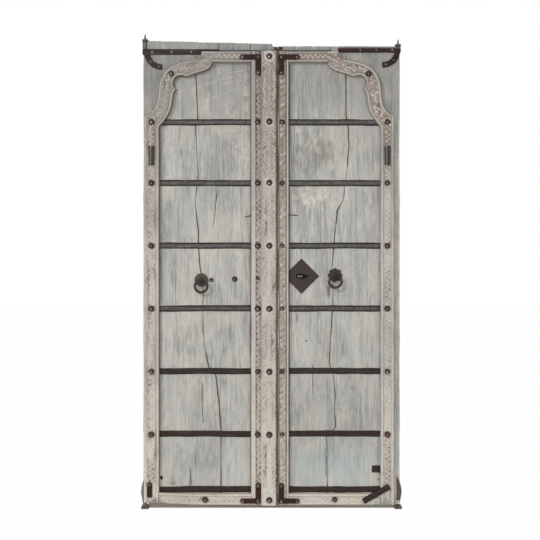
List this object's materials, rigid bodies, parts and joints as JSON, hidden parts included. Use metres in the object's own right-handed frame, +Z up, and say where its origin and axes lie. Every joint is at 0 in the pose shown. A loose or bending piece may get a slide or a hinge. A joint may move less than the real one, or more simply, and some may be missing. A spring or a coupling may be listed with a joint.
{
  "type": "carved double door",
  "caption": "Weathered carved double door with cusped arch braces, iron cross straps, dome studs, ring handles and a lock plate, turning on corner pivots in a plain timber frame.",
  "frame": {"origin": "middle of the sill's underside, on the floor, half way across the pair of leaves", "axes": "+Z up, front of the door faces -Y, +X to the right seen from the front"},
  "size_m": [1.1496, 0.151, 2.098],
  "materials": {
    "weathered_board": "grey weathered, worn limewash",
    "carved_wood": "worn pale carving with brown recesses",
    "plain_timber": "plain weathered timber",
    "forged_iron": "hand forged, dark and rusty",
    "iron_stud": "dark, polished by wear on top",
    "ring_iron": "worn grey iron"
  },
  "bodies": {
    "frame": {"left_jamb": "plain_timber", "right_jamb": "plain_timber", "lintel": "plain_timber", "sill": "plain_timber", "frame_pegs": "plain_timber", "left_lintel_eye": "forged_iron", "right_lintel_eye": "forged_iron", "left_floor_cup": "forged_iron", "right_floor_cup": "forged_iron"},
    "left_leaf": {"left_outer_board": "weathered_board", "left_inner_board": "weathered_board", "left_outer_stile": "carved_wood", "left_arch_brace": "carved_wood", "left_top_rail": "carved_wood", "left_inner_stile": "carved_wood", "left_bottom_rail": "carved_wood", "centre_post": "carved_wood", "left_ledges": "plain_timber", "left_cross_straps": "forged_iron", "left_top_pivot": "forged_iron", "left_bottom_pivot": "forged_iron", "left_top_corner_iron": "forged_iron", "left_bottom_corner_iron": "forged_iron", "left_foot_iron": "forged_iron", "left_stile_plate": "forged_iron", "left_studs": "iron_stud", "left_ring_plate": "ring_iron", "left_ring_eye": "ring_iron"},
    "right_leaf": {"right_outer_board": "weathered_board", "right_inner_board": "weathered_board", "right_outer_stile": "carved_wood", "right_arch_brace": "carved_wood", "right_top_rail": "carved_wood", "right_inner_stile": "carved_wood", "right_bottom_rail": "carved_wood", "right_ledges": "plain_timber", "right_cross_straps": "forged_iron", "right_top_pivot": "forged_iron", "right_bottom_pivot": "forged_iron", "right_top_corner_iron": "forged_iron", "right_bottom_corner_iron": "forged_iron", "right_foot_bar": "forged_iron", "right_patch": "forged_iron", "right_stile_plate": "forged_iron", "right_studs": "iron_stud", "right_ring_plate": "ring_iron", "right_ring_eye": "ring_iron", "lock_plate": "forged_iron", "lock_staple": "forged_iron"},
    "left_ring": {"left_ring": "ring_iron"},
    "right_ring": {"right_ring": "ring_iron"}
  },
  "joints": [
    {"name": "left_leaf_swing", "type": "hinge", "parent": "frame", "child": "left_leaf", "pos_m": [-0.55875, -0.052, 0], "axis": [0, 0, -1], "range_deg": [0, 105]},
    {"name": "right_leaf_swing", "type": "hinge", "parent": "frame", "child": "right_leaf", "pos_m": [0.55875, -0.052, 0], "axis": [0, 0, 1], "range_deg": [0, 105]},
    {"name": "left_ring_lift", "type": "hinge", "parent": "left_leaf", "child": "left_ring", "pos_m": [-0.30975, -0.0902, 1.0093], "axis": [-1, 0, 0], "range_deg": [0, 100]},
    {"name": "right_ring_lift", "type": "hinge", "parent": "right_leaf", "child": "right_ring", "pos_m": [0.27975, -0.0902, 1.0303], "axis": [-1, 0, 0], "range_deg": [0, 100]}
  ]
}
